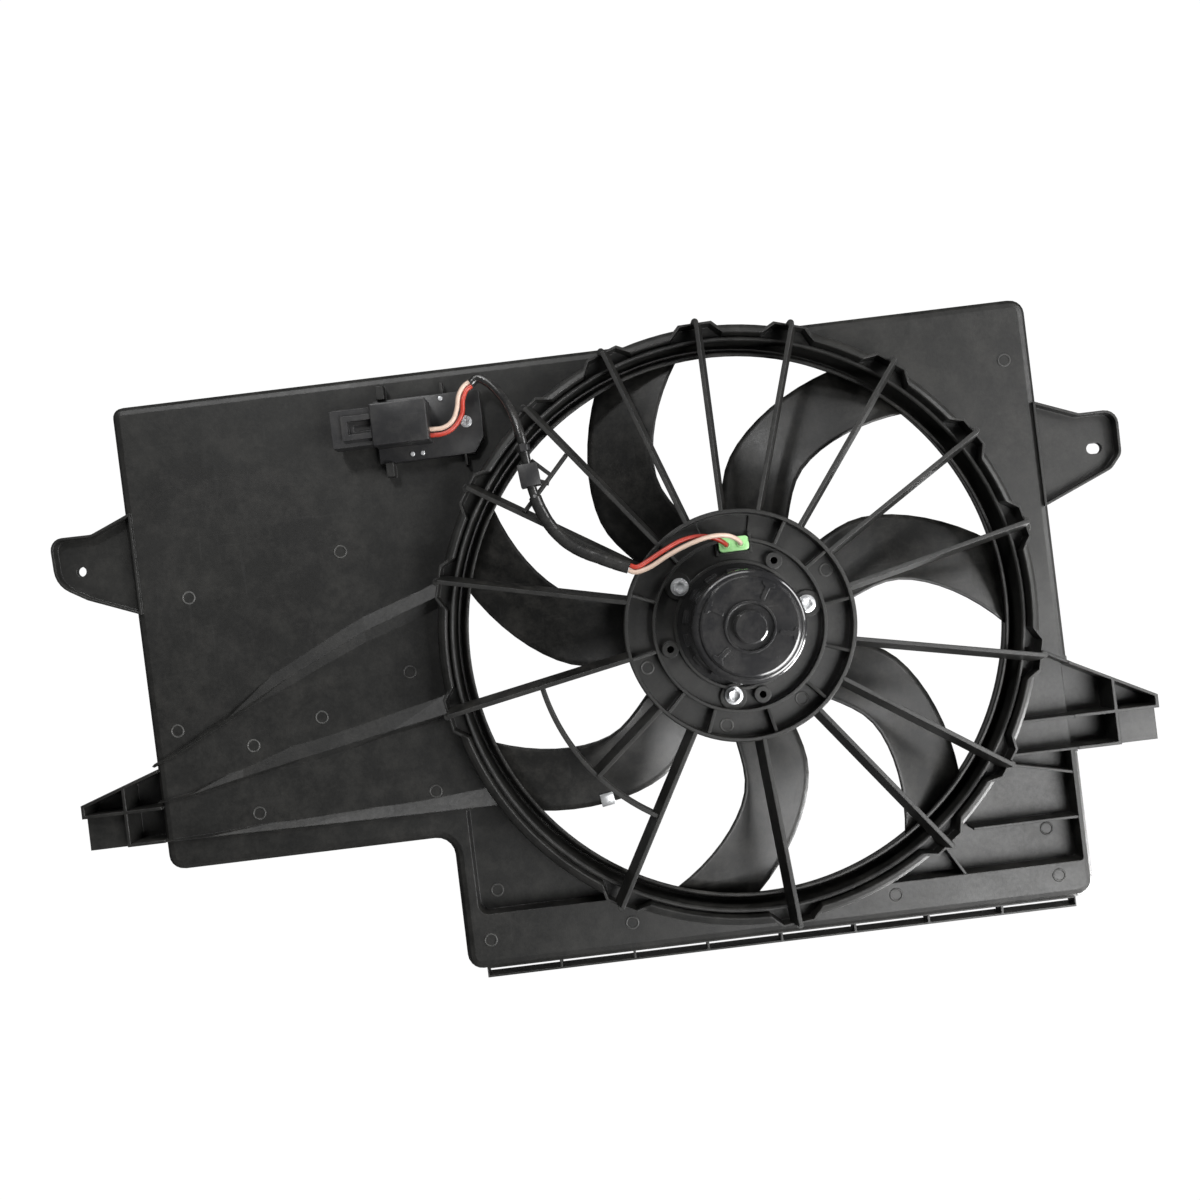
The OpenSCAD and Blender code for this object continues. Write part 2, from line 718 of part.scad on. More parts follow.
// Swept and twisted blade: sections at stations from hub to band
module blade() {
    stations = 14;
    chord_at = [0, 0.05, 0.18, 0.36, 0.55, 0.74, 0.9, 1];
    m = len(chord_at);
    n = 2 * m;
    points = [for (k = [0:stations]) let (s = k / stations)
        each concat([for (c = chord_at) blade_point(s, c, 1)],
            [for (j = [m - 1:-1:0]) blade_point(s, chord_at[j], -1)])];
    skin = [for (k = [0:stations - 1]) for (i = [0:n - 1])
        let (a = k * n + i, b = k * n + (i + 1) % n)
        each [[a, b + n, b], [a, a + n, b + n]]];
    caps = [for (i = [0:m - 2]) each [[i, i + 1, n - 2 - i], [i, n - 2 - i, n - 1 - i]]];
    far = [for (f = caps) [f[2] + stations * n, f[1] + stations * n, f[0] + stations * n]];
    polyhedron(points, concat(caps, skin, far));
}

module fan_blades() {
    color("#333435")
    stand()
    for (i = [0:blade_count - 1])
        rotate(i * 360 / blade_count)
            blade();
}

module hub_insert() {
    color("#a9a9a4")
    stand()
    difference() {
        union() {
            disc(insert_r, hub_z + 2, insert_top);
            disc(insert_r - 4, insert_top - 1, insert_top + 1);
        }
        disc(shaft_r, hub_z, insert_top + 2);
    }
}

// Push-on ring that keeps the fan on its shaft
module hub_clip() {
    color("#8e8f90")
    stand()
    difference() {
        disc(9, hub_z, hub_z + 2);
        disc(shaft_r, hub_z - 1, hub_z + 3);
        for (a = [0:60:300])
            rotate(a)
                translate([shaft_r + 0.5, -0.6, hub_z - 1])
                    cube([3, 1.2, 4]);
    }
}

clip_s = 0.71;
clip_half = 0.048;
clip_in = 1.15;
clip_out = clip_in + 0.8;

// Point beside the camber line: beyond its leading edge by ahead, to one side by off
function clip_point(s, c, ahead, off) =
    let (p = camber(s, c), t = unit(camber(s, min(c + 0.02, 1)) - camber(s, c - 0.02)),
         f = p + t * ahead + [-t[1], t[0]] * off,
         r = blade_r(s, f[1]), a = blade_mid(s) + f[0] / r * 180 / PI)
    [r * cos(a), r * sin(a), f[1]];

// Spring steel weight pushed over the leading edge of one blade
module balance_clip() {
    back = [0.84, 0.92, 1];
    steps = 4;
    function ring(s) = concat(
        [for (c = back) clip_point(s, c, 0, clip_out)],
        [clip_point(s, 1, 1.2, clip_out), clip_point(s, 1, 1.2, -clip_out)],
        [for (c = [1, 0.92, 0.84]) clip_point(s, c, 0, -clip_out)],
        [for (c = back) clip_point(s, c, 0, -clip_in)],
        [clip_point(s, 1, 0.4, -clip_in), clip_point(s, 1, 0.4, clip_in)],
        [for (c = [1, 0.92, 0.84]) clip_point(s, c, 0, clip_in)]);
    points = [for (k = [0:steps]) each ring(clip_s + clip_half * (2 * k / steps - 1))];
    skin = [for (k = [0:steps - 1]) for (i = [0:15])
        let (a = k * 16 + i, b = k * 16 + (i + 1) % 16)
        each [[a, b + 16, b], [a, a + 16, b + 16]]];
    caps = [for (i = [0:6]) each [[i, i + 1, 14 - i], [i, 14 - i, 15 - i]]];
    far = [for (f = caps) [f[2] + steps * 16, f[1] + steps * 16, f[0] + steps * 16]];
    color("#b9bab8")
    stand()
    rotate(-360 / blade_count)
        polyhedron(points, concat(caps, skin, far));
}

can_top = mount_z + can_len;
can_in = can_r - can_wall;
shoulder = 6;
boss_top = can_top + 5;
bearing_r = 8;

module motor_can() {
    ledge = can_top - 2;
    face_r = can_r - 4;
    outer = [for (i = [0:5]) let (a = 90 * i / 5)
        [can_r - 3 + 3 * cos(a), ledge - 3 + 3 * sin(a)]];
    inner = [for (i = [6:-1:0]) let (a = 90 * i / 6, r = shoulder - can_wall)
        [can_in - r + r * cos(a), can_top - can_wall - 2 - r + r * sin(a)]];
    color("#3a3c3e")
    stand() {
        rotate_extrude()
            polygon(concat([[can_in, mount_z], [can_r, mount_z]], outer,
                [[face_r, ledge], [face_r - 0.8, can_top - 0.3], [face_r - 1.8, can_top],
                 [15.2, can_top], [15.2, can_top + 2], [14, can_top + 2], [13.5, can_top - 0.5],
                 [bearing_r + can_wall, can_top - 0.5], [bearing_r + can_wall, boss_top - 1],
                 [bearing_r + can_wall - 1, boss_top], [0, boss_top], [0, boss_top - can_wall],
                 [bearing_r, boss_top - can_wall], [bearing_r, can_top - can_wall - 3]], inner));
        for (a = emboss_angles)
            rotate(a)
                emboss();
        for (a = stake_angles)
            rotate(a)
                rotate_extrude(angle = 13)
                    translate([can_r - 0.6, mount_z + 1.5])
                        square([2.4, 4.4]);
    }
}
emboss_angles = [60, 148, 219, 345];
stake_angles = [for (i = [0:13]) 8 + 25 * i];

// Raised stamping in the can's end: a short radial rib with a foot across its outer end
module emboss() {
    prism([[17.5, -1.1], [25.5, -1.5], [26.5, -4.2], [28, -3.6], [28.4, 0], [27.6, 4], [26.2, 3.6],
        [25.2, 1.3], [17.5, 1.1]], can_top - 1, can_top + 0.9);
}

shield_r = 52;
shield_t = 3;
shield_z = mount_z - shield_t;
cup_z = shield_z - 11;

// Stamped plate with the motor's ears, its front cup and its bearing seat
module motor_end_shield() {
    color("#54575a")
    stand() {
        difference() {
            prism_2d(shield_z, mount_z) {
                circle(can_r + 6);
                for (a = bolt_angles)
                    rotate(a)
                        polygon(ear);
                translate([plug_x - plug_w / 2 - 2, can_in])
                    square([plug_w + 4, plug_y + plug_d / 2 - can_in + 1]);
            }
            disc(can_r, shield_z - 1, mount_z + 1);
            for (a = bolt_angles)
                rotate(a)
                    translate([bolt_circle_r, 0, 0])
                        disc(bolt_r, shield_z - 1, mount_z + 1);
            translate([plug_x - 6, plug_y - 2, shield_z - 1])
                cube([12, 4, shield_t + 2]);
        }
        rotate_extrude()
            polygon([[bearing_r, cup_z - 3], [bearing_r + 2, cup_z - 3],
                [bearing_r + 2, cup_z - 1], [can_r - 4, cup_z], [can_r, cup_z + 4],
                [can_r, shield_z - 0.5], [can_r + 1, shield_z], [can_r + 1, mount_z],
                [can_in, mount_z], [can_in, cup_z + 4],
                [can_r - 5, cup_z + 2], [bearing_r, cup_z + 1.5]]);
    }
}

ear = [[20, -16], [bolt_circle_r - 1, -9], [bolt_circle_r + 7, -6], [bolt_circle_r + 7, 6],
    [bolt_circle_r - 1, 9], [20, 16]];

module prism_2d(z0, z1) {
    translate([0, 0, z0])
        linear_extrude(z1 - z0)
            children();
}

// Flanged hexagon bolts through the carrier into the motor's ears
module motor_bolts() {
    seat = carrier_top + boss_h;
    color("#c3c5c6")
    stand()
    for (a = bolt_angles)
        rotate(a)
            translate([bolt_circle_r, 0, 0])
                difference() {
                    union() {
                        disc(bolt_r, shield_z - 2, seat + 1);
                        disc(1.9 * bolt_r, seat, seat + 1.3);
                        translate([0, 0, seat + 1.2])
                            cylinder(r = 1.55 * bolt_r, h = 4.6, $fn = 6);
                    }
                    disc(0.85 * bolt_r, seat + 4.4, seat + 8);
                }
}

core_r = 24;
magnet_in = core_r + air_gap;
core_z = mount_z + 12;
core_len = 30;

module magnets() {
    color("#4b4646")
    stand()
    for (a = [0, 180])
        rotate(a - 64)
            rotate_extrude(angle = 128)
                translate([magnet_in, core_z - 1])
                    square([can_in - magnet_in - 0.05, core_len + 2]);
}

module bearing(z0, len) {
    difference() {
        disc(bearing_r, z0, z0 + len);
        disc(shaft_r + shaft_play, z0 - 1, z0 + len + 1);
    }
}

module front_bearing() {
    color("#b08a4a")
    stand()
    bearing(cup_z - 2.5, 7);
}

module rear_bearing() {
    color("#b08a4a")
    stand()
    bearing(can_top - can_wall - 2.5, 7);
}

module motor_shaft() {
    color("#c9cbcc")
    stand()
    disc(shaft_r, hub_z - 0.5, can_top + 2.5);
}

module armature_core() {
    color("#5d6063")
    stand()
    difference() {
        disc(core_r, core_z, core_z + core_len);
        disc(shaft_r, core_z - 1, core_z + core_len + 1);
        for (i = [0:slot_count - 1])
            rotate(i * 360 / slot_count)
                translate([core_r * 0.5, -1.6, core_z - 1])
                    cube([core_r, 3.2, core_len + 2]);
    }
}

module armature_windings() {
    turn_r = core_r - 3;
    color("#a4512a")
    stand() {
        for (z = [core_z - 6, core_z + core_len])
            difference() {
                disc(turn_r, z, z + 6);
                disc(shaft_r + 3, z - 1, z + 7);
            }
    }
}

commutator_r = 11;
commutator_z = shield_z - 4;

module commutator() {
    color("#b4703c")
    stand()
    difference() {
        disc(commutator_r, commutator_z, core_z - 6.2);
        disc(shaft_r, commutator_z - 1, core_z);
        for (i = [0:slot_count - 1])
            rotate(i * 360 / slot_count)
                translate([commutator_r - 1.2, -0.3, commutator_z - 1])
                    cube([3, 0.6, core_z]);
    }
}

card_z = shield_z - 2.5;

// Insulating card that carries the brush holders
module brush_card() {
    color("#2f2a26")
    stand()
    difference() {
        union() {
            disc(can_in - 0.1, card_z, card_z + 2);
            for (s = [-1, 1])
                translate([s > 0 ? commutator_r + 2 : -commutator_r - 17, -4.6, card_z])
                    cube([15, 9.2, 9.4]);
        }
        disc(commutator_r + 1, card_z - 1, card_z + 12);
        for (s = [-1, 1])
            translate([s > 0 ? commutator_r + 1 : -commutator_r - 16, -3.1, card_z + 2])
                cube([15, 6.2, 6.2]);
    }
}

module brushes() {
    color("#3c3b3a")
    stand()
    for (s = [0, 180])
        rotate(s)
            difference() {
                translate([commutator_r - 1, -3, card_z + 2.1])
                    cube([9, 6, 6]);
                disc(commutator_r + 0.3, card_z, card_z + 12);
            }
}

module brush_springs() {
    turns = 3;
    steps = 8;
    coil_r = 2.2;
    start = commutator_r + 8.4;
    len = 7.2;
    helix = [for (i = [0:turns * steps]) let (a = i * 360 / steps)
        [start + len * i / (turns * steps), coil_r * cos(a), card_z + 5.1 + coil_r * sin(a)]];
    color("#9da0a2")
    stand()
    for (s = [0, 180])
        rotate(s)
            swept(helix, 0.35, 5);
}

module motor_plug() {
    color("#9fd08c")
    stand()
    difference() {
        union() {
            prism(rounded([[plug_x - plug_w / 2, plug_y - plug_d / 2, 2.4],
                [plug_x + plug_w / 2, plug_y - plug_d / 2, 2.4],
                [plug_x + plug_w / 2, plug_y + plug_d / 2, 2.4],
                [plug_x - plug_w / 2, plug_y + plug_d / 2, 2.4]]), mount_z, mount_z + plug_h);
            translate([plug_x - 5.5, plug_y - 1.5, mount_z - 2])
                cube([11, 3, 3]);
        }
        for (x = wire_x)
            translate([x, plug_y, 0])
                disc(wire_r + 0.25, mount_z + plug_h - 2, mount_z + plug_h + 1);
    }
}
plug_h = 9;
wire_r = 1.5;
wire_x = [plug_x - 5, plug_x + 4];

body_x = module_x;
body_w = 36;
body_y = module_y + 9.5;
body_d = 27;
body_h = 19;
body_z = panel_h + module_t;

module module_base() {
    color("#2a2b2c")
    stand()
    prism([[module_x, module_y], [module_x + module_w - 7, module_y],
        [module_x + module_w, module_y + 10], [module_x + module_w, module_y + module_d],
        [module_x, module_y + module_d]], panel_h, body_z);
}

module module_screw() {
    color("#c6c8c9")
    stand()
    translate([module_x + 58.7, module_y + 20.8, body_z])
        difference() {
            union() {
                disc(3.8, 0, 1.2);
                disc(3, 1.2, 3.2);
            }
            translate([-3.5, -0.45, 2])
                cube([7, 0.9, 2]);
            translate([-0.45, -3.5, 2])
                cube([0.9, 7, 2]);
        }
}

rivet_at = [[20.7, 38.1], [43.7, 37.7], [21.7, 4.1], [28.4, 4]];

module module_rivets() {
    color("#c6c8c9")
    stand()
    for (p = rivet_at)
        translate([module_x + p[0], module_y + p[1], body_z])
            disc(1.5, 0, 1);
}

// Block where the motor's wires meet the inlet
module connector_body() {
    color("#2d2e2f")
    stand()
    difference() {
        soft_block([[body_x, body_y, 1], [body_x + body_w, body_y, 1],
            [body_x + body_w, body_y + body_d, 1], [body_x, body_y + body_d, 1]],
            body_z, body_z + body_h, 1, 2);
        for (i = [0, 1])
            translate([body_x + body_w - 3, body_y + 4 + 4 * i, body_z + 9])
                rotate([0, 90, 0])
                    cylinder(r = wire_r + 0.3, h = 9);
    }
}

socket_w = 26;
socket_d = 24;
socket_h = 15;

// Open-ended shell with a latch bridge, where the vehicle's plug goes in
module inlet_socket() {
    x0 = body_x - socket_w;
    y0 = body_y + 1.5;
    color("#2d2e2f")
    stand()
    difference() {
        union() {
            translate([x0, y0, body_z])
                cube([socket_w, socket_d, socket_h]);
            translate([x0 + 7, y0 + 4, body_z + socket_h - 1])
                cube([socket_w - 7, 15.5, 3.4]);
        }
        translate([x0 - 1, y0 + 2, body_z + 2])
            cube([socket_w - 1, socket_d - 4, socket_h - 6]);
        translate([x0 + 11, y0 + 7.5, body_z + socket_h - 2.2])
            cube([socket_w, 8.5, 7]);
        translate([x0 + 11 + 3, y0 + 9.7, body_z + socket_h - 3.4])
            cube([socket_w, 4.1, 7]);
    }
}

module socket_pins() {
    color("#c0b37c")
    stand()
    for (y = [6, 15.4])
        translate([body_x - 16, body_y + 1.5 + y, body_z + 7])
            cube([14, 2.6, 0.8]);
}

// The loom's height over the struts, and its wires' height where they leave the block
loom_z = strut_front + 4.5;
lead_z = body_z + 9;

// Route points chosen by hand: near the inlet they keep to the block, near the motor to
// the fan's axis, and both keep their height over what carries them
function by_inlet(list) =
    [for (p = list) [body_x + body_w + p[0], body_y + p[1], lead_z + p[2]]];
function by_motor(list) = [for (p = list) [p[0], p[1], loom_z + p[2]]];
function by_plug(list, x) =
    concat(by_motor(list), [for (dz = [1.4, -1.8]) [x, plug_y, mount_z + plug_h + dz]]);

cream_inlet = by_inlet([[-2.8, 8, 0], [8, 7.7, 0], [15, 11.7, 0], [18.5, 18.7, 0],
    [20.5, 26.7, 0], [24.2, 32.6, -1], [28.4, 35.1, -1]]);
red_inlet = by_inlet([[-2.8, 4, 0], [8, 3.9, 0], [15.5, 7.3, 0], [21.5, 15.2, 0],
    [23, 23.7, 0], [25.8, 29.9, -1], [29.8, 32.3, -1]]);
red_outlet = by_plug([[-64.1, 45.3, 1.5], [-60, 43.7, 1.5], [-53, 46.5, 1.5], [-42, 52, 2.5],
    [-31, 56.5, 2.5], [-20, 57.8, 1.5], [-10.5, 56, -1], [-4.6, 52.6, -3.7]], wire_x[0]);
cream_outlet = by_plug([[-65.4, 42.4, 1.5], [-61, 40.6, 1.5], [-52, 42.6, 2.5], [-41, 48, 4],
    [-28, 53.2, 5.5], [-14, 56.6, 5], [-3, 56.4, 2], [4, 53.4, -2.5]], wire_x[1]);

// Where the sleeve climbs over the ring: share of the way along X, Y and Z
climb = [[0.38, 0.22, 0.26], [0.68, 0.48, 0.6], [0.88, 0.75, 0.89]];
sleeve_start = by_inlet([[29.5, 33.9, -1], [34.5, 36.7, -0.5], [41.5, 31.7, 2]]);
sleeve_run = by_motor([[-121.5, 132, 0], [-120.7, 124, 0], [-120, 116, 0], [-119.3, 108, 0],
    [-118.6, 100, 0], [-115.5, 88, 0], [-110, 75.5, 0.3], [-102, 65, 0.5], [-92.5, 57.5, 1],
    [-82, 52, 1.5], [-73, 47.5, 1.5], [-65, 44, 1.5]]);
sleeve_route = concat(sleeve_start,
    [for (t = climb) [for (k = [0:2])
        sleeve_start[2][k] + t[k] * (sleeve_run[0][k] - sleeve_start[2][k])]],
    sleeve_run);
sleeve_r = 3;
taped_r = 4;
taped_below = 96;

module wire_red() {
    color("#b3402c")
    stand() {
        swept(smooth_route(red_inlet), wire_r);
        swept(smooth_route(red_outlet), wire_r);
    }
}

module wire_cream() {
    color("#cdbfa6")
    stand() {
        swept(smooth_route(cream_inlet), wire_r);
        swept(smooth_route(cream_outlet), wire_r);
    }
}

module loom_sleeve() {
    color("#1c1c1c")
    stand()
    swept(smooth_route(sleeve_route), sleeve_radii, 10);
}

// The sleeve is bare as far as the clip and taped below it
sleeve_radii = [for (p = smooth_route(sleeve_route)) p[1] > taped_below ? sleeve_r : taped_r];

// Saddle that grips the sleeve and hooks onto the bracket
module loom_clip() {
    at_z = strut_front - 1;
    color("#333435")
    stand()
    translate([-119.3, 108, at_z])
        rotate(5)
            difference() {
                translate([-6.2, -7, 0])
                    cube([12.4, 14, 10.8]);
                translate([0, 9, loom_z - at_z])
                    rotate([90, 0, 0])
                        cylinder(r = sleeve_r + 0.15, h = 18);
            }
}

module cable_tie() {
    color("#161616")
    stand()
    translate([-120.75, 125, loom_z])
        rotate([90, 0, 5.5]) {
            tube(sleeve_r + 1.1, sleeve_r + 0.15, -1.8, 1.8);
            translate([-2, sleeve_r + 0.6, -2.3])
                cube([4, 3, 4.6]);
        }
}

shroud_panel();
shroud_ring();
stator_struts();
stator_brace();
motor_carrier();
harness_bracket();
fan_hub();
fan_blades();
fan_band();
hub_insert();
hub_clip();
balance_clip();
motor_can();
motor_end_shield();
motor_bolts();
magnets();
front_bearing();
rear_bearing();
motor_shaft();
armature_core();
armature_windings();
commutator();
brush_card();
brushes();
brush_springs();
motor_plug();
module_base();
module_screw();
module_rivets();
connector_body();
inlet_socket();
socket_pins();
wire_red();
wire_cream();
loom_sleeve();
loom_clip();
cable_tie();
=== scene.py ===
"""Radiator cooling fan: camera, light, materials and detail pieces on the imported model."""
import json
import math

import bmesh
import bpy
from mathutils import Matrix, Vector

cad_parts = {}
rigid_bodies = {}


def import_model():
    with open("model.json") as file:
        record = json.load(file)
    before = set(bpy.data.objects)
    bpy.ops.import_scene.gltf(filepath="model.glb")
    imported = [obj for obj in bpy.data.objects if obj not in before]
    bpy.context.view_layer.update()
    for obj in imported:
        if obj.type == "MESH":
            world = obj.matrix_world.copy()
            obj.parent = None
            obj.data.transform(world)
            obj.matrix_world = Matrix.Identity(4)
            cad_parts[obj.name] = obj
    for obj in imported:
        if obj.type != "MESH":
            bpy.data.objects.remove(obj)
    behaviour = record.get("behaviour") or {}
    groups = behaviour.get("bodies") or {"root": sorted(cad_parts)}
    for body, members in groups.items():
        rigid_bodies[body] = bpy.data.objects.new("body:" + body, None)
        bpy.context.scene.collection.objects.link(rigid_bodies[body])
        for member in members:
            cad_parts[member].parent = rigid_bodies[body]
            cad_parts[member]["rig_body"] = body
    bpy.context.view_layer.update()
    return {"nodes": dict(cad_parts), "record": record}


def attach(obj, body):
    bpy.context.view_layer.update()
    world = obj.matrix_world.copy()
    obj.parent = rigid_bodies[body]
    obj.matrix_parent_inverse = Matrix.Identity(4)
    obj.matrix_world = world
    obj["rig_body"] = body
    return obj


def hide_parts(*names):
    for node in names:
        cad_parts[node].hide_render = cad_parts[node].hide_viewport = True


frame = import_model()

NODES = frame["nodes"]
MM = 0.001


def from_bench(point):
    """A point of the bench's frame, in mm, as a point of the row frame, in metres."""
    x, y, z = point
    return Vector((x, -z, y)) * MM


# Camera: 0.77 m in front of the shroud's plate, left of the fan's axis, rolled clockwise
CAMERA_AT = (-0.0851, -0.797, 0.0262)
ROLL = math.radians(6.93)
FOCAL_PIXELS = 1175.6
PHOTO_PIXELS = 1200.0
SENSOR_WIDTH = 36.0


def make_camera():
    data = bpy.data.cameras.new("camera")
    data.sensor_width = SENSOR_WIDTH
    data.lens = SENSOR_WIDTH * FOCAL_PIXELS / PHOTO_PIXELS
    data.clip_start, data.clip_end = 0.01, 50.0
    camera = bpy.data.objects.new("camera", data)
    right = Vector((math.cos(ROLL), 0.0, -math.sin(ROLL)))
    up = Vector((math.sin(ROLL), 0.0, math.cos(ROLL)))
    back = Vector((0.0, -1.0, 0.0))
    turn = Matrix((right, up, back)).transposed().to_4x4()
    camera.matrix_world = Matrix.Translation(CAMERA_AT) @ turn
    bpy.context.scene.collection.objects.link(camera)
    bpy.context.scene.camera = camera


make_camera()


# Shader trees. The colour sockets of a Mix node share their names, so they go by number
MIX_A, MIX_B, MIX_RESULT = 6, 7, 2


class Tree:
    """Adds shader nodes to one tree and links them."""

    def __init__(self, tree):
        self.tree = tree
        tree.nodes.clear()

    def add(self, kind, inputs=None, **settings):
        node = self.tree.nodes.new("ShaderNode" + kind)
        for name, value in settings.items():
            setattr(node, name, value)
        for name, value in (inputs or {}).items():
            if isinstance(value, bpy.types.NodeSocket):
                self.tree.links.new(value, node.inputs[name])
            else:
                node.inputs[name].default_value = value
        return node

    def math(self, operation, first, second):
        return self.add("Math", {0: first, 1: second}, operation=operation).outputs[0]

    def plus(self, first, second):
        return self.math("ADD", first, second)

    def times(self, first, second):
        return self.math("MULTIPLY", first, second)

    def spread(self, value, low, high, to_low=0.0, to_high=1.0):
        """Stretches what lies between low and high to a range of its own, and clamps the rest."""
        inputs = {"Value": value, "From Min": low, "From Max": high,
                  "To Min": to_low, "To Max": to_high}
        return self.add("MapRange", inputs).outputs["Result"]

    def blend(self, share, first, second):
        inputs = {"Factor": share, MIX_A: first, MIX_B: second}
        return self.add("Mix", inputs, data_type="RGBA").outputs[MIX_RESULT]

    def noise(self, place, scale, detail, roughness=0.5):
        inputs = {"Vector": place, "Scale": scale, "Detail": detail, "Roughness": roughness}
        return self.add("TexNoise", inputs).outputs["Fac"]

    def place(self, stretch=None):
        spot = self.add("TexCoord").outputs["Object"]
        if stretch is None:
            return spot
        return self.add("Mapping", {"Vector": spot, "Scale": stretch}).outputs["Vector"]

    def shared(self, group, **inputs):
        named = {name.title(): value for name, value in inputs.items()}
        return self.add("Group", named, node_tree=group).outputs


def new_material(name):
    material = bpy.data.materials.new(name)
    material.use_nodes = True
    return material, Tree(material.node_tree)


def shared_group(name, takes, gives, draw):
    """A node group with named inputs and outputs; draw(tree, inputs) returns its outputs."""
    tree = bpy.data.node_groups.new(name, "ShaderNodeTree")
    for label, value in takes.items():
        socket = tree.interface.new_socket(label, in_out="INPUT", socket_type="NodeSocketFloat")
        socket.default_value = value
    for label, kind in gives.items():
        tree.interface.new_socket(label, in_out="OUTPUT", socket_type="NodeSocket" + kind)
    build = Tree(tree)
    given = tree.nodes.new("NodeGroupInput")
    result = tree.nodes.new("NodeGroupOutput")
    for label, socket in draw(build, given.outputs).items():
        tree.links.new(socket, result.inputs[label])
    return tree


def draw_grain(tree, given):
    """Fine pebbled surface of a tool that was spark eroded."""
    place = tree.place()
    cells = tree.add("TexVoronoi", {"Vector": place, "Scale": given["Scale"]}).outputs["Distance"]
    fine = tree.noise(place, tree.times(given["Scale"], 2.3), detail=2.0)
    return {"Height": tree.plus(tree.times(cells, 0.6), fine)}


# Broad shade, cloudy patches and specks, each with its fineness, detail, roughness and share
SHADE_LAYERS = [(1.0, 2.0, 0.5, 0.45), (5.0, 5.0, 0.6, 0.25), (55.0, 4.0, 0.7, 0.30)]


def draw_shade(tree, given):
    """Slow change of shade across a moulding, with patches and specks inside it."""
    place = tree.place()
    shade = 0.0
    for fineness, detail, roughness, share in SHADE_LAYERS:
        layer = tree.noise(place, tree.times(given["Scale"], fineness), detail, roughness)
        shade = tree.plus(shade, tree.times(layer, share))
    return {"Mask": tree.spread(shade, 0.38, 0.62)}


def draw_edges(tree, given):
    """Rounded normal at the edges, and a mask of where an edge is rubbed."""
    soft = tree.add("Bevel", {"Radius": given["Radius"]}, samples=4).outputs["Normal"]
    true = tree.add("NewGeometry").outputs["Normal"]
    turn = tree.add("VectorMath", {0: soft, 1: true}, operation="DOT_PRODUCT").outputs["Value"]
    edge = tree.spread(turn, 0.985, 0.80)
    broken = tree.noise(tree.place(), scale=90.0, detail=6.0, roughness=0.65)
    broken = tree.spread(broken, 0.42, 0.62)
    return {"Normal": soft, "Mask": tree.times(edge, broken)}


# Share of the dust that lies on every face, whichever way it looks
DUST_EVERYWHERE = 0.45


def draw_dust(tree, given):
    """Clouds of dust on every face, thickest on what faces up."""
    up = tree.add("SeparateXYZ", {0: tree.add("NewGeometry").outputs["Normal"]}).outputs["Z"]
    lying = tree.plus(tree.spread(up, 0.35, 1.0), DUST_EVERYWHERE)
    cloud = tree.noise(tree.place(), scale=60.0, detail=8.0, roughness=0.8)
    lying = tree.times(lying, tree.spread(cloud, 0.44, 0.70))
    return {"Mask": tree.times(lying, given["Amount"])}


def draw_scuffs(tree, given):
    """Hair-fine scratches in two directions."""
    def lines(stretch):
        streak = tree.noise(tree.place(stretch), scale=1.0, detail=2.0)
        return tree.spread(streak, 0.64, 0.70)
    both = tree.math("MAXIMUM", lines((14, 60, 420)), lines((300, 60, 22)))
    patch = tree.spread(tree.noise(tree.place(), scale=17.0, detail=3.0), 0.48, 0.64)
    return {"Mask": tree.times(tree.times(both, patch), given["Amount"])}


def draw_turning(tree, given):
    """Rings that a lathe or a press leaves round the fan's axis."""
    rings = tree.add("TexWave", {"Vector": tree.place(), "Scale": given["Scale"],
                                 "Distortion": 1.5, "Detail": 2.0, "Detail Scale": 2.0},
                     wave_type="RINGS", rings_direction="Y", wave_profile="SAW").outputs["Fac"]
    return {"Height": rings}


GRAIN = shared_group("moulded_grain", {"Scale": 900.0}, {"Height": "Float"}, draw_grain)
SHADE = shared_group("uneven_shade", {"Scale": 6.0}, {"Mask": "Float"}, draw_shade)
EDGES = shared_group("worn_edges", {"Radius": 0.0006}, {"Normal": "Vector", "Mask": "Float"},
                     draw_edges)
DUST = shared_group("settled_dust", {"Amount": 0.3}, {"Mask": "Float"}, draw_dust)
SCUFFS = shared_group("handling_scuffs", {"Amount": 0.3}, {"Mask": "Float"}, draw_scuffs)
TURNING = shared_group("turned_rings", {"Scale": 300.0}, {"Height": "Float"}, draw_turning)
SHADE_SCALE = 7.0
DUST_COLOUR = (0.20, 0.19, 0.17, 1)
SCRATCH_DEPTH = 2.0
COAT_ROUGHNESS = 0.08
# How the roughness changes: with the shade, on rubbed edges, under dust and in scratches
ROUGHNESS_SWING, EDGE_POLISH, DUST_DULLING, SCRATCH_DULLING = 0.07, 0.12, 0.5, 0.2


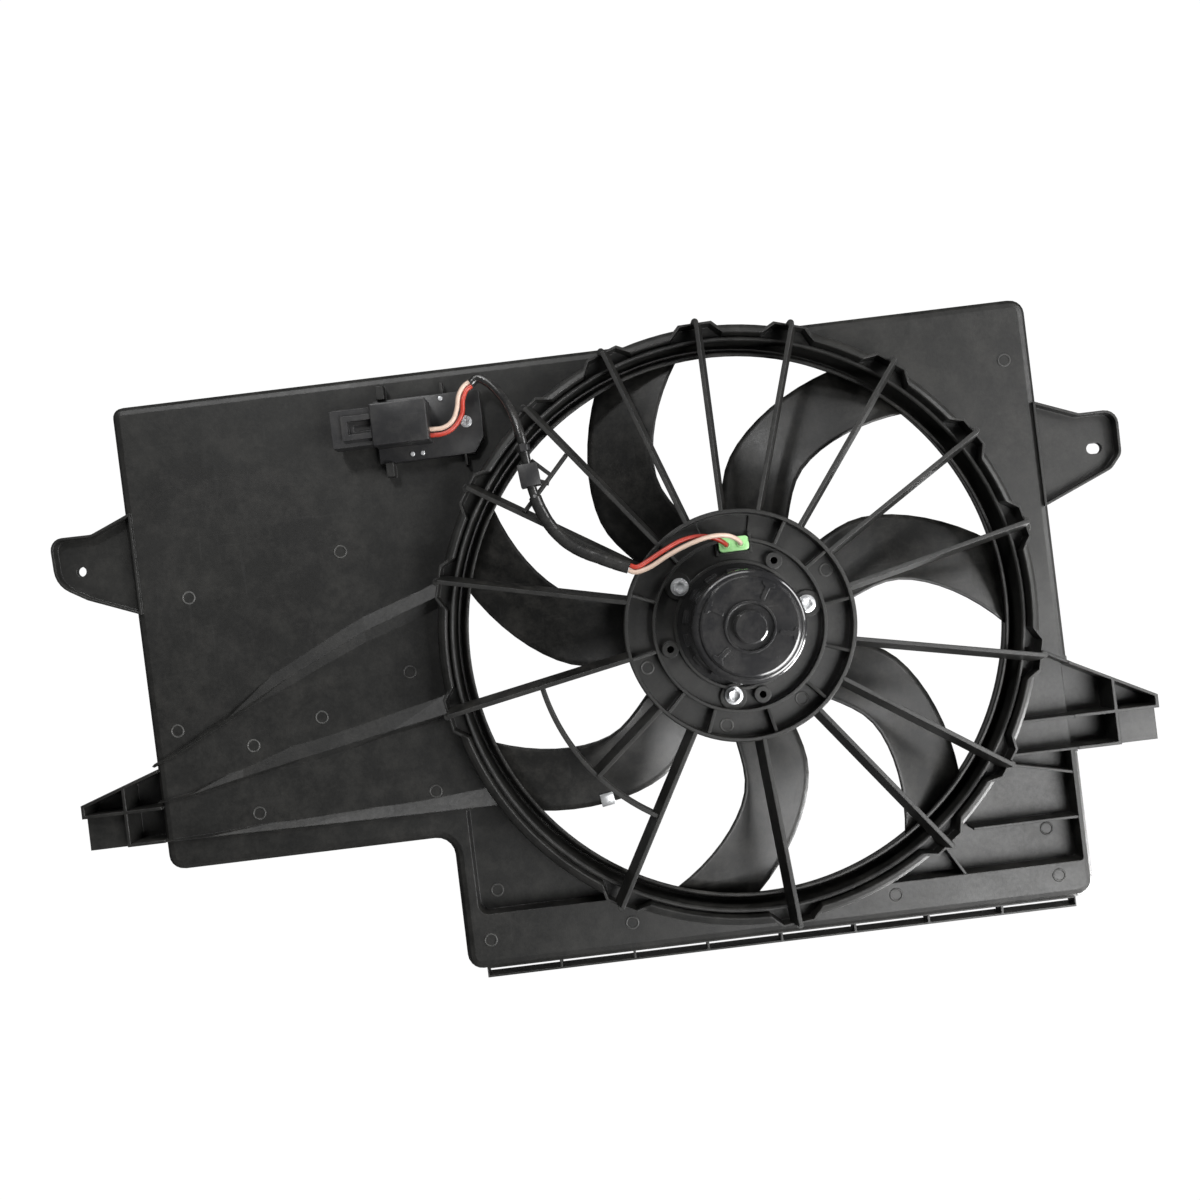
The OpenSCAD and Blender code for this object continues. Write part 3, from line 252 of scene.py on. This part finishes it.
def finish(name, dark, light, worn, rough, metal=0.0, grain=900.0, depth=0.03, edge=0.6,
           wear=0.5, dust=0.2, scuff=0.25, turned=0.0, coat=0.0, specular=0.5):
    """A material: two shades of its colour, the colour of its worn edges, and its surface.

    The grain's depth and the edges' radius are in mm.
    """
    material, tree = new_material(name)
    shade = tree.shared(SHADE, scale=SHADE_SCALE)["Mask"]
    edges = tree.shared(EDGES, radius=edge * MM)
    lying = tree.shared(DUST, amount=dust)["Mask"]
    scratch = tree.shared(SCUFFS, amount=scuff)["Mask"]
    height = tree.shared(GRAIN, scale=grain)["Height"]
    if turned:
        height = tree.plus(height, tree.times(tree.shared(TURNING)["Height"], turned))
    height = tree.math("SUBTRACT", height, tree.times(scratch, SCRATCH_DEPTH))
    colour = tree.blend(shade, (*dark, 1), (*light, 1))
    rubbed = tree.math("MAXIMUM", tree.times(edges["Mask"], wear), scratch)
    colour = tree.blend(rubbed, colour, (*worn, 1))
    colour = tree.blend(lying, colour, DUST_COLOUR)
    roughness = tree.spread(shade, 0.0, 1.0, rough + ROUGHNESS_SWING, rough - ROUGHNESS_SWING)
    roughness = tree.math("SUBTRACT", roughness, tree.times(edges["Mask"], EDGE_POLISH))
    roughness = tree.plus(roughness, tree.times(lying, DUST_DULLING))
    roughness = tree.plus(roughness, tree.times(scratch, SCRATCH_DULLING))
    bumped = tree.add("Bump", {"Strength": 1.0, "Distance": depth * MM, "Height": height,
                               "Normal": edges["Normal"]}).outputs["Normal"]
    shader = tree.add("BsdfPrincipled", {
        "Base Color": colour, "Roughness": roughness, "Normal": bumped, "Metallic": metal,
        "Coat Weight": coat, "Coat Roughness": COAT_ROUGHNESS, "Specular IOR Level": specular})
    tree.add("OutputMaterial", {"Surface": shader.outputs[0]})
    return material


# One look for each slot, and a lighter grey look for the ejector marks of shroud_plastic
LOOKS = {
    "shroud_plastic": dict(
        dark=(0.0030, 0.0030, 0.0027), light=(0.0190, 0.0190, 0.0182), worn=(0.07, 0.07, 0.07),
        rough=0.42, edge=0.9, scuff=0.06, wear=0.35, dust=0.13, specular=0.42),
    # Ejector marks: a lighter grey than the shroud around them
    "lighter_ring_plastic": dict(
        dark=(0.008, 0.008, 0.0075), light=(0.075, 0.075, 0.072), worn=(0.12, 0.12, 0.12),
        rough=0.46, edge=0.9),
    "fan_plastic": dict(
        dark=(0.0035, 0.0035, 0.0033), light=(0.0105, 0.0105, 0.0100), worn=(0.07, 0.07, 0.07),
        rough=0.38, edge=0.8, depth=0.02, scuff=0.10, wear=0.35, specular=0.35),
    "motor_steel": dict(
        dark=(0.008, 0.008, 0.009), light=(0.013, 0.013, 0.014), worn=(0.16, 0.16, 0.16),
        rough=0.22, grain=2600, depth=0.0012, edge=0.5, wear=0.4, scuff=0.05, coat=1.0),
    "plated_steel": dict(
        dark=(0.34, 0.34, 0.35), light=(0.50, 0.50, 0.51), worn=(0.75, 0.75, 0.76),
        rough=0.34, metal=1.0, depth=0.01, dust=0.1),
    "zinc_fasteners": dict(
        dark=(0.56, 0.57, 0.59), light=(0.74, 0.75, 0.76), worn=(0.88, 0.88, 0.89),
        rough=0.28, metal=0.55, grain=2200, depth=0.0008, edge=0.3, dust=0.03, scuff=0.0,
        wear=0.2),
    "ferrite": dict(
        dark=(0.030, 0.030, 0.032), light=(0.055, 0.055, 0.058), worn=(0.12, 0.12, 0.12),
        rough=0.72, grain=3200),
    "sintered_bronze": dict(
        dark=(0.33, 0.21, 0.11), light=(0.46, 0.31, 0.18), worn=(0.60, 0.45, 0.28),
        rough=0.5, metal=1.0, grain=4000),
    "card_plastic": dict(
        dark=(0.060, 0.034, 0.022), light=(0.095, 0.055, 0.036), worn=(0.16, 0.11, 0.08),
        rough=0.55),
    "carbon": dict(
        dark=(0.020, 0.020, 0.021), light=(0.040, 0.040, 0.041), worn=(0.11, 0.11, 0.11),
        rough=0.62, grain=3600),
    "spring_steel": dict(
        dark=(0.46, 0.47, 0.48), light=(0.66, 0.67, 0.68), worn=(0.84, 0.84, 0.86),
        rough=0.36, metal=0.70, grain=2000, depth=0.001, edge=0.15, dust=0.03, scuff=0.0,
        wear=0.2),
    "green_plastic": dict(
        dark=(0.24, 0.52, 0.20), light=(0.34, 0.64, 0.28), worn=(0.55, 0.80, 0.48),
        rough=0.33, edge=0.5, wear=0.3, scuff=0.1),
    "module_plastic": dict(
        dark=(0.011, 0.011, 0.012), light=(0.018, 0.018, 0.019), worn=(0.09, 0.09, 0.09),
        rough=0.38, edge=0.5, grain=1300),
    "contact_brass": dict(
        dark=(0.56, 0.42, 0.18), light=(0.70, 0.56, 0.28), worn=(0.85, 0.72, 0.42),
        rough=0.28, metal=1.0, edge=0.15, depth=0.008),
    "red_insulation": dict(
        dark=(0.33, 0.022, 0.012), light=(0.46, 0.045, 0.025), worn=(0.62, 0.16, 0.10),
        rough=0.34, edge=0.2, wear=0.2, scuff=0.1),
    "cream_insulation": dict(
        dark=(0.50, 0.36, 0.28), light=(0.62, 0.47, 0.38), worn=(0.75, 0.64, 0.55),
        rough=0.36, edge=0.2, wear=0.2, scuff=0.1),
    "loom_tape": dict(
        dark=(0.010, 0.010, 0.010), light=(0.020, 0.020, 0.020), worn=(0.07, 0.07, 0.07),
        rough=0.24, grain=1600, depth=0.01, edge=0.25, specular=0.7),
    "insert_aluminium": dict(
        dark=(0.42, 0.42, 0.43), light=(0.60, 0.60, 0.61), worn=(0.80, 0.80, 0.81),
        rough=0.36, metal=1.0, turned=0.5, edge=0.3),
    "lamination_steel": dict(
        dark=(0.20, 0.21, 0.22), light=(0.34, 0.35, 0.36), worn=(0.60, 0.60, 0.61),
        rough=0.42, metal=1.0, turned=0.4),
    "copper": dict(
        dark=(0.46, 0.17, 0.08), light=(0.64, 0.28, 0.15), worn=(0.80, 0.45, 0.28),
        rough=0.30, metal=1.0, grain=1500),
}
FINISH = {name: finish(name, **look) for name, look in LOOKS.items()}


def finish_nodes():
    slots = {part["node"]: part["material_slot"] for part in frame["record"]["subparts"]}
    for name, node in NODES.items():
        node.data.materials.clear()
        node.data.materials.append(FINISH[slots[name]])
    return slots


SLOTS = finish_nodes()
BODY_OF = {name: node["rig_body"] for name, node in NODES.items()}


# Detail pieces. Lengths are in mm and angles in degrees
SMOOTH_BELOW = 35
SHARP_FROM = 30
FLAT_WITHIN = 0.5
WELD = 0.002
NEAREST_WITHIN = 0.05


def new_piece(name, bm, body, slot, smooth_below=SMOOTH_BELOW, look=None):
    """Makes an object of bm that rides on a body and is shaded smooth below an angle."""
    bmesh.ops.recalc_face_normals(bm, faces=bm.faces)
    mesh = bpy.data.meshes.new(name)
    bm.to_mesh(mesh)
    bm.free()
    mesh.shade_smooth()
    mesh.set_sharp_from_angle(angle=math.radians(smooth_below))
    mesh.materials.append(FINISH[look or slot])
    piece = bpy.data.objects.new(name, mesh)
    bpy.context.scene.collection.objects.link(piece)
    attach(piece, body)
    return piece


def stand_in(node, ending, bm, smooth_below=SMOOTH_BELOW):
    """Hides a CAD node and puts a piece in its place, on its body and with its slot's finish."""
    piece = new_piece(node + ending, bm, BODY_OF[node], SLOTS[node], smooth_below)
    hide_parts(node)


def welded(node):
    """The form of a CAD node, with its doubled points joined."""
    bm = bmesh.new()
    bm.from_mesh(NODES[node].data)
    bmesh.ops.remove_doubles(bm, verts=bm.verts, dist=WELD * MM)
    return bm


def dished(bm, rim, depth):
    """Sinks the middle of the faces nearest the viewer, inside a rim."""
    front = min(v.co.y for v in bm.verts) + NEAREST_WITHIN * MM
    tops = [f for f in bm.faces if f.normal.y < -0.99 and f.calc_center_median().y < front]
    bmesh.ops.inset_individual(bm, faces=tops, thickness=rim * MM, depth=0.0)
    bmesh.ops.inset_individual(bm, faces=tops, thickness=0.5 * depth * MM, depth=-depth * MM)


def round_edges(bm, width, from_angle):
    """Rounds the edges that turn by more than an angle."""
    sharp = [e for e in bm.edges
             if e.is_manifold and e.calc_face_angle(0.0) > math.radians(from_angle)]
    bmesh.ops.bevel(bm, geom=sharp, offset=width * MM, offset_type="OFFSET", segments=2,
                    profile=0.5, affect="EDGES", clamp_overlap=True, material=-1)


def make_softened(node, width, dish=None):
    """The form of a CAD node with its sharp edges rounded, and dished where it is asked for."""
    bm = welded(node)
    bmesh.ops.dissolve_limit(bm, angle_limit=math.radians(FLAT_WITHIN), verts=bm.verts,
                             edges=bm.edges)
    if dish:
        dished(bm, *dish)
    round_edges(bm, width, SHARP_FROM)
    stand_in(node, "_softened", bm)


def smooth_path(points, spacing):
    """A Catmull-Rom curve through points of the bench's frame, as points of the row frame.

    They lie about `spacing` apart.
    """
    path = []
    for i in range(len(points) - 1):
        a, b = Vector(points[max(i - 1, 0)]), Vector(points[i])
        c, d = Vector(points[i + 1]), Vector(points[min(i + 2, len(points) - 1)])
        steps = max(1, round((c - b).length / spacing))
        for k in range(steps):
            t = k / steps
            path.append(0.5 * (2 * b + (c - a) * t + (2 * a - 5 * b + 4 * c - d) * t * t
                               + (3 * b - a - 3 * c + d) * t ** 3))
    path.append(Vector(points[-1]))
    return [from_bench(p) for p in path]


def swept_tube(bm, path, radius, sides):
    """A closed tube along a path of the row frame.

    radius(length, turn) gives its radius at a length along it and a turn from 0 to 1.
    """
    ring = bmesh.ops.create_circle(bm, segments=sides, radius=1.0)["verts"]
    made = list(ring)
    edges = list({e for v in ring for e in v.link_edges})
    for _ in path[1:]:
        geom = bmesh.ops.extrude_edge_only(bm, edges=edges)["geom"]
        verts = [g for g in geom if isinstance(g, bmesh.types.BMVert)]
        bmesh.ops.translate(bm, verts=verts, vec=(0, 0, 1))
        edges = [g for g in geom if isinstance(g, bmesh.types.BMEdge)
                 and g.verts[0] in verts and g.verts[1] in verts]
        made += verts
    bmesh.ops.holes_fill(bm, edges=list({e for v in made for e in v.link_edges if e.is_boundary}))
    frames, length, side = [], 0.0, None
    for i, point in enumerate(path):
        ahead = (path[min(i + 1, len(path) - 1)] - path[max(i - 1, 0)]).normalized()
        side = (ahead.orthogonal() if side is None else side - ahead * side.dot(ahead)).normalized()
        length += (point - path[i - 1]).length / MM if i else 0.0
        frames.append((point, side, ahead.cross(side), length))
    for v in made:
        point, side, up, length = frames[round(v.co.z)]
        turn = math.atan2(v.co.y, v.co.x) / math.tau % 1.0
        angle = turn * math.tau
        v.co = point + (side * math.cos(angle) + up * math.sin(angle)) * radius(length, turn) * MM


def revolved(bm, profile, centre, sides):
    """Spins a closed profile of (radius, height towards the viewer).

    Its centre is a point of the bench's frame.
    """
    middle = from_bench(centre)
    verts = [bm.verts.new(middle + Vector((r, -h, 0)) * MM) for r, h in profile]
    edges = [bm.edges.new((a, b)) for a, b in zip(verts, verts[1:] + verts[:1])]
    bmesh.ops.spin(bm, geom=verts + edges, cent=middle, axis=(0, 1, 0), dvec=(0, 0, 0),
                   angle=math.tau, steps=sides, use_merge=True)


# Balance clip: sheet folded over a blade's leading edge, at a point of the row frame
CLIP_AT = Vector((-95.6, -25.4, -106.4))
CLIP_ALONG = Vector((-0.989, -0.049, -0.142))
CLIP_INTO = Vector((-0.132, -0.173, 0.976))
CLIP_WIDTH = 8.8
CLIP_OUTSIDE = [(-1.9, 0.6), (-1.4, 1.4), (-0.6, 1.8), (4.2, 1.8), (5.2, 1.6), (7.0, 2.5)]
CLIP_INSIDE = [(7.3, 1.95), (5.3, 1.0), (4.2, 1.2), (-0.4, 1.2), (-1.0, 0.9), (-1.25, 0.35)]
CLIP_EDGE = 0.12
CLIP_SHARP_FROM = 70


def make_balance_clip():
    half = CLIP_OUTSIDE + CLIP_INSIDE
    fold = half + [(depth, -side) for depth, side in reversed(half)]
    across = CLIP_ALONG.cross(CLIP_INTO)
    start = CLIP_AT - CLIP_ALONG * CLIP_WIDTH / 2
    bm = bmesh.new()
    verts = [bm.verts.new((start + CLIP_INTO * depth + across * side) * MM) for depth, side in fold]
    end = bm.faces.new(verts)
    made = bmesh.ops.extrude_face_region(bm, geom=[end])["geom"]
    moved = [g for g in made if isinstance(g, bmesh.types.BMVert)]
    bmesh.ops.translate(bm, verts=moved, vec=CLIP_ALONG * CLIP_WIDTH * MM)
    bmesh.ops.recalc_face_normals(bm, faces=bm.faces)
    round_edges(bm, CLIP_EDGE, CLIP_SHARP_FROM)
    stand_in("balance_clip", "_folded", bm)


# Ejector marks: where the mould's pins pushed the shroud out, as (x, y, height) on the bench
PIN_MARKS = [(-321.6, -41.1, 28), (-323, -85.4, 28), (-369.8, -25.6, 28), (-214.3, -5.6, 28),
             (-275, -28, 28), (-206.8, -85.1, 28), (-352, 60, 28), (-250, 78, 28),
             (191.8, -160.6, 14), (191.4, -188.6, 28), (84, -188.6, 28), (-176.2, -157.3, 14),
             (-182.7, -186.0, 28), (-89.5, -185.8, 28),
             (196, 150, 28), (196, 40, 28), (34.1, -50.9, 53.5), (-15.1, -62, 53.5),
             (-60.5, -20, 53.5), (59, 28, 53.5)]
PIN_RIM = [(3.1, -0.1), (3.4, 0.3), (3.7, 0.45), (4.0, 0.45), (4.3, 0.3), (4.6, -0.1)]


def make_pin_marks():
    bm = bmesh.new()
    for mark in PIN_MARKS:
        revolved(bm, PIN_RIM, mark, sides=40)
    # The marks take a lighter grey than the shroud around them
    new_piece("ejector_pin_marks", bm, "housing", "shroud_plastic", look="lighter_ring_plastic")


# Lip that turns in behind the fan's band and hides the running gap
LIP_AT = 21.0
LIP_PROFILE = [(180.9, -0.9), (177.8, -0.7), (177.4, -0.3), (177.4, 0.3), (177.8, 0.7),
               (179.9, 0.9), (180.9, 1.9)]


def make_inlet_lip():
    bm = bmesh.new()
    revolved(bm, LIP_PROFILE, (0, 0, LIP_AT), sides=192)
    new_piece("throat_inlet_lip", bm, "housing", "shroud_plastic")


# Wiring: the routes of the CAD nodes, in the bench's frame, with their true round section
CREAM_INLET = [(-182.8, 148.3, 43), (-172, 148, 43), (-165, 152, 43), (-161.5, 159, 43),
               (-159.5, 167, 43), (-155.8, 172.9, 42), (-151.6, 175.4, 42)]
RED_INLET = [(-182.8, 144.3, 43), (-172, 144.2, 43), (-164.5, 147.6, 43), (-158.5, 155.5, 43),
             (-157, 164, 43), (-154.2, 170.2, 42), (-150.2, 172.6, 42)]
SLEEVE = [(-150.5, 174.2, 42), (-145.5, 177, 42.5), (-138.5, 172, 45), (-132, 163, 51),
          (-127, 153, 59), (-123.5, 142, 66), (-121.5, 132, 68.5), (-120.7, 124, 68.5),
          (-120, 116, 68.5), (-119.3, 108, 68.5), (-118.6, 100, 68.5), (-115.5, 88, 68.5),
          (-110, 75.5, 68.8), (-102, 65, 69), (-92.5, 57.5, 69.5), (-82, 52, 70), (-73, 47.5, 70),
          (-65, 44, 70)]
RED_OUTLET = [(-64.1, 45.3, 70), (-60, 43.7, 70), (-53, 46.5, 70), (-42, 52, 71), (-31, 56.5, 71),
              (-20, 57.8, 70), (-10.5, 56, 67.5), (-4.6, 52.6, 64.8)]
CREAM_OUTLET = [(-65.4, 42.4, 70), (-61, 40.6, 70), (-52, 42.6, 71), (-41, 48, 72.5),
                (-28, 53.2, 74), (-14, 56.6, 73.5), (-3, 56.4, 70.5), (4, 53.4, 66)]
ROUTES = {"wire_red": (RED_INLET, RED_OUTLET), "wire_cream": (CREAM_INLET, CREAM_OUTLET)}
WIRE_R = 1.5

# Green plug: where each wire goes in, and how far its last stretch reaches over and into it
PLUG_SEATS = {"wire_red": -2.6, "wire_cream": 6.4}
PLUG_Y = 51.0
PLUG_TOP = 60.0
PLUG_OVER, PLUG_DEEP = 1.4, 1.8
COLLAR = [(1.62, -0.6), (1.62, 0.9), (1.85, 1.15), (2.35, 1.15), (2.6, 0.9), (2.6, -0.6)]


def make_wires():
    for node, (inlet, outlet) in ROUTES.items():
        seat_x = PLUG_SEATS[node]
        into_plug = [(seat_x, PLUG_Y, PLUG_TOP + PLUG_OVER), (seat_x, PLUG_Y, PLUG_TOP - PLUG_DEEP)]
        bm = bmesh.new()
        for route in (inlet, outlet + into_plug):
            path = smooth_path(route, spacing=1.6)
            swept_tube(bm, path, lambda length, turn: WIRE_R, sides=18)
        stand_in(node, "_insulation", bm)


def make_plug_collars():
    bm = bmesh.new()
    for x in PLUG_SEATS.values():
        revolved(bm, COLLAR, (x, PLUG_Y, PLUG_TOP), sides=28)
    new_piece("plug_collars", bm, "housing", "green_plastic")


# Loom sleeve: ribbed where it is bare, and taped below a height on the bench.
# The tape steps up in the first part of each turn, and thins along the rest
SLEEVE_R = 3.0
RIB_DEPTH = 0.06
RIB_RADIANS_PER_MM = 2.1
TAPED_FROM = 96.0
TAPE_R = 3.72
TAPE_PITCH = 9.0
TAPE_STEP = 0.30
TAPE_STEP_TURN = 0.12
TAPE_THINS_BY = 0.10


def make_sleeve():
    """Bare sleeve as far as the clip, then wound with tape whose turns overlap."""
    path = smooth_path(SLEEVE, spacing=0.9)
    start = next(i for i, p in enumerate(path) if p.z < TAPED_FROM * MM)
    bare = sum((b - a).length for a, b in zip(path[:start], path[1:start + 1])) / MM

    def radius(length, turn):
        if length < bare:
            return SLEEVE_R - RIB_DEPTH * math.cos(length * RIB_RADIANS_PER_MM) ** 2
        wound = ((length - bare) / TAPE_PITCH + turn) % 1.0
        return TAPE_R + TAPE_STEP * min(wound / TAPE_STEP_TURN, 1.0) - TAPE_THINS_BY * wound

    bm = bmesh.new()
    swept_tube(bm, path, radius, sides=28)
    stand_in("loom_sleeve", "_taped", bm, smooth_below=50)


# Width of the rounded edges, and the rim and depth of the dish in the bolts' heads
EDGE_WIDTHS = {"motor_bolts": 0.35, "module_screw": 0.3, "module_rivets": 0.4, "motor_plug": 0.35,
               "connector_body": 0.3, "loom_clip": 0.5, "hub_insert": 0.3, "module_base": 0.4}
DISHES = {"motor_bolts": (0.9, 0.9)}

stand_in("fan_blades", "_smoothed", welded("fan_blades"), smooth_below=50)
make_balance_clip()
make_pin_marks()
make_inlet_lip()
make_wires()
make_sleeve()
make_plug_collars()
for node, width in EDGE_WIDTHS.items():
    make_softened(node, width, DISHES.get(node))


# Studio: white floor and backdrop in one sweep, soft boxes around the camera. All in metres
SWEEP_WIDTH = 8
SWEEP_PROFILE = [(-3.0, -1.2), (1.2, -1.2), (1.7, -1.1), (2.05, -0.9), (2.25, -0.6), (2.3, -0.2),
                 (2.3, 4.0)]
PAPER_GREY = (0.22, 0.22, 0.22, 1)
PAPER_GLOW = 1.08
GLOW_SHARE = 0.94
WORLD_STRENGTH = 0.10
# Place, target, size and watts of each light
LIGHTS = {
    "softbox_low_right": ((0.76, -1.15, -0.58), (0.1, 0, -0.05), (1.0, 0.75), 33),
    "softbox_right": ((1.15, -0.85, 0.40), (0, 0, 0), (0.5, 0.9), 12),
    "softbox_top": ((-0.35, -0.9, 1.4), (-0.2, 0, 0), (1.4, 0.6), 9),
    "sparkle_top_left": ((-0.55, -1.2, 0.95), (0, 0, 0), (0.22, 0.22), 6.5),
    "rim_low_right": ((0.95, 0.36, -0.80), (0.1, 0, -0.1), (0.8, 0.8), 55),
}


def studio_white():
    """Paper that the camera sees as plain white and that lights the object only softly."""
    material, tree = new_material("studio_white")
    grey = tree.add("BsdfDiffuse", {"Color": PAPER_GREY}).outputs[0]
    bright = tree.add("Emission", {"Color": (1, 1, 1, 1), "Strength": PAPER_GLOW}).outputs[0]
    share = tree.times(tree.add("LightPath").outputs["Is Camera Ray"], GLOW_SHARE)
    both = tree.add("MixShader", {0: share, 1: grey, 2: bright}).outputs[0]
    tree.add("OutputMaterial", {"Surface": both})
    return material


def make_sweep():
    mesh = bpy.data.meshes.new("studio_sweep")
    bm = bmesh.new()
    verts = [bm.verts.new((-SWEEP_WIDTH / 2, y, z)) for y, z in SWEEP_PROFILE]
    edges = [bm.edges.new(pair) for pair in zip(verts, verts[1:])]
    made = bmesh.ops.extrude_edge_only(bm, edges=edges)["geom"]
    moved = [g for g in made if isinstance(g, bmesh.types.BMVert)]
    bmesh.ops.translate(bm, verts=moved, vec=(SWEEP_WIDTH, 0, 0))
    bm.to_mesh(mesh)
    bm.free()
    mesh.shade_smooth()
    sweep = bpy.data.objects.new("studio_sweep", mesh)
    bpy.context.scene.collection.objects.link(sweep)
    mesh.materials.append(studio_white())


def area_light(name, place, target, size, watts):
    data = bpy.data.lights.new(name, "AREA")
    data.shape = "RECTANGLE"
    data.size, data.size_y = size
    data.energy = watts
    light = bpy.data.objects.new(name, data)
    light.location = place
    light.rotation_mode = "QUATERNION"
    light.rotation_quaternion = (Vector(target) - Vector(place)).to_track_quat("-Z", "Y")
    bpy.context.scene.collection.objects.link(light)


def make_light():
    world = bpy.data.worlds.new("studio")
    bpy.context.scene.world = world
    world.use_nodes = True
    background = world.node_tree.nodes["Background"].inputs
    background["Color"].default_value = (1, 1, 1, 1)
    background["Strength"].default_value = WORLD_STRENGTH
    for name, light in LIGHTS.items():
        area_light(name, *light)
    bpy.context.scene.view_settings.view_transform = "Standard"


make_sweep()
make_light()
